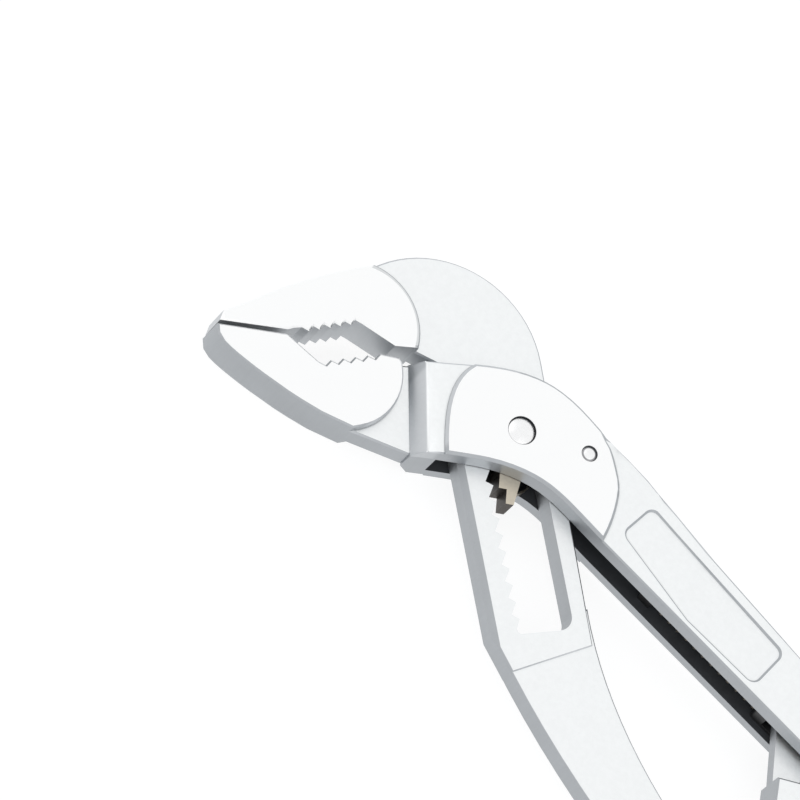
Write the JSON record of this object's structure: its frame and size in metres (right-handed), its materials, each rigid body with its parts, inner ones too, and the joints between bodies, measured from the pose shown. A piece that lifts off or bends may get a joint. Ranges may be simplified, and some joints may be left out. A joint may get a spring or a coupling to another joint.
{
  "type": "self-adjusting pliers",
  "caption": "Self-adjusting pliers with toothed jaws; the upper jaw's lever slides on a rack along the pivot, a pawl locks it, and a sprung strut links the handles.",
  "frame": {"origin": "pivot pin's axis at the rear boss face, which the tool lies on", "axes": "+X towards the jaws, +Y towards the flat handle, +Z out of the front face"},
  "size_m": [0.2421, 0.0773, 0.0142],
  "materials": {
    "lever_plating": "satin chrome plate over forged steel",
    "pin_steel": "turned and ground",
    "dark_steel": "dark oiled steel",
    "pawl_plating": "cream zinc plate, worn dark on the toothed side",
    "spring_steel": "drawn spring wire and strip",
    "grip_plastic": "soft matte moulding"
  },
  "bodies": {
    "outer": {"outer_lever": "lever_plating", "pivot_pin": "pin_steel", "pivot_sleeve": "dark_steel", "cross_pin": "pin_steel", "stop_bush": "dark_steel", "spring_seat": "dark_steel", "return_spring": "spring_steel", "outer_grip": "grip_plastic"},
    "guide": {"guide_block": "dark_steel", "pawl_spring": "spring_steel"},
    "pawl": {"pawl": "pawl_plating"},
    "inner": {"inner_lever": "lever_plating", "strut_pin": "pin_steel", "strut_ring": "spring_steel", "inner_grip": "grip_plastic"},
    "strut": {"strut": "lever_plating", "nose_pin": "pin_steel"},
    "slider": {"slider": "dark_steel"}
  },
  "joints": [
    {"name": "lever_swing", "type": "hinge", "parent": "outer", "child": "guide", "pos_m": [0, 0, 0.0065], "axis": [0, 0, 1], "range_deg": [-16, 0]},
    {"name": "jaw_slide", "type": "slide", "parent": "guide", "child": "inner", "axis": [0.8, -0.6, 0], "range_m": [0, 0.0245]},
    {"name": "pawl_rock", "type": "hinge", "parent": "guide", "child": "pawl", "pos_m": [0, 0, 0.0065], "axis": [0, 0, 1], "range_deg": [-13, 0], "stiffness_Nm_per_rad": 0.02},
    {"name": "strut_swing", "type": "hinge", "parent": "inner", "child": "strut", "pos_m": [-0.11, 0.04525, 0.00645], "axis": [0, 0, 1], "range_deg": [-14.1, 0]},
    {"name": "slider_travel", "type": "slide", "parent": "outer", "child": "slider", "axis": [1, 0, 0], "range_m": [0, 0.0055], "deforming": ["return_spring"]}
  ],
  "couplings": [
    {"joint": "lever_swing", "follows": "jaw_slide", "rad_per_m": -11.345},
    {"joint": "strut_swing", "follows": "jaw_slide", "rad_per_m": -9.948},
    {"joint": "slider_travel", "follows": "jaw_slide", "ratio": 0.22}
  ]
}
